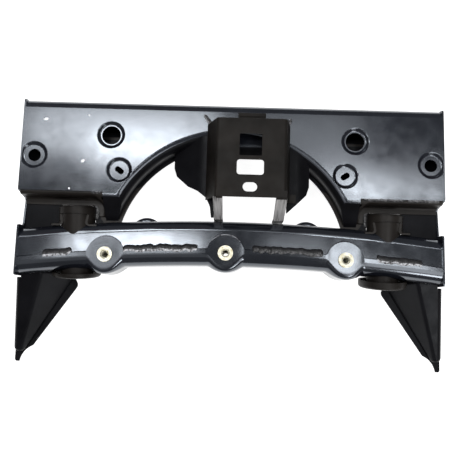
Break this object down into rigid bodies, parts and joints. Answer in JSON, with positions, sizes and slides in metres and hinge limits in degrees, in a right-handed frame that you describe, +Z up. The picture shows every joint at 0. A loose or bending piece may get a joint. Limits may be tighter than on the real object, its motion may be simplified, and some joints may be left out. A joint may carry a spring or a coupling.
{
  "type": "vehicle front subframe",
  "caption": "Welded pressed-steel subframe lying flat: plate with arched window, bowed beam with threaded bosses and bush sleeves, raised bracket and splayed front arms.",
  "frame": {"origin": "centre of the footprint on the ground, as the subframe lies flat on its rear channel and its arm bases", "axes": "+Z up through the plate, +Y to the rear wall of the crossmember, +X to the right seen from behind the arms"},
  "size_m": [0.784, 0.464, 0.148],
  "materials": {
    "black_paint": "glossy black dip coat",
    "bracket_paint": "duller, warmer black dip coat",
    "zinc": "yellowish zinc plating",
    "weld": "rough weld bead under paint"
  },
  "bodies": {
    "root": {"upper_panel": "black_paint", "lower_panel": "black_paint", "left_end_plate": "black_paint", "right_end_plate": "black_paint", "left_corner_panel": "black_paint", "right_corner_panel": "black_paint", "beam_rear_shell": "black_paint", "beam_front_shell": "black_paint", "left_bush_sleeve": "black_paint", "right_bush_sleeve": "black_paint", "left_sleeve_collar": "black_paint", "right_sleeve_collar": "black_paint", "left_sleeve_cup": "black_paint", "right_sleeve_cup": "black_paint", "left_bracket_wing": "black_paint", "right_bracket_wing": "black_paint", "wing_bridge": "black_paint", "left_arm_shell": "black_paint", "right_arm_shell": "black_paint", "left_arm_base": "black_paint", "right_arm_base": "black_paint", "mount_bracket": "bracket_paint", "left_threaded_boss": "zinc", "middle_threaded_boss": "zinc", "right_threaded_boss": "zinc", "seam_welds": "weld", "panel_welds": "weld", "bracket_welds": "weld"}
  },
  "joints": []
}
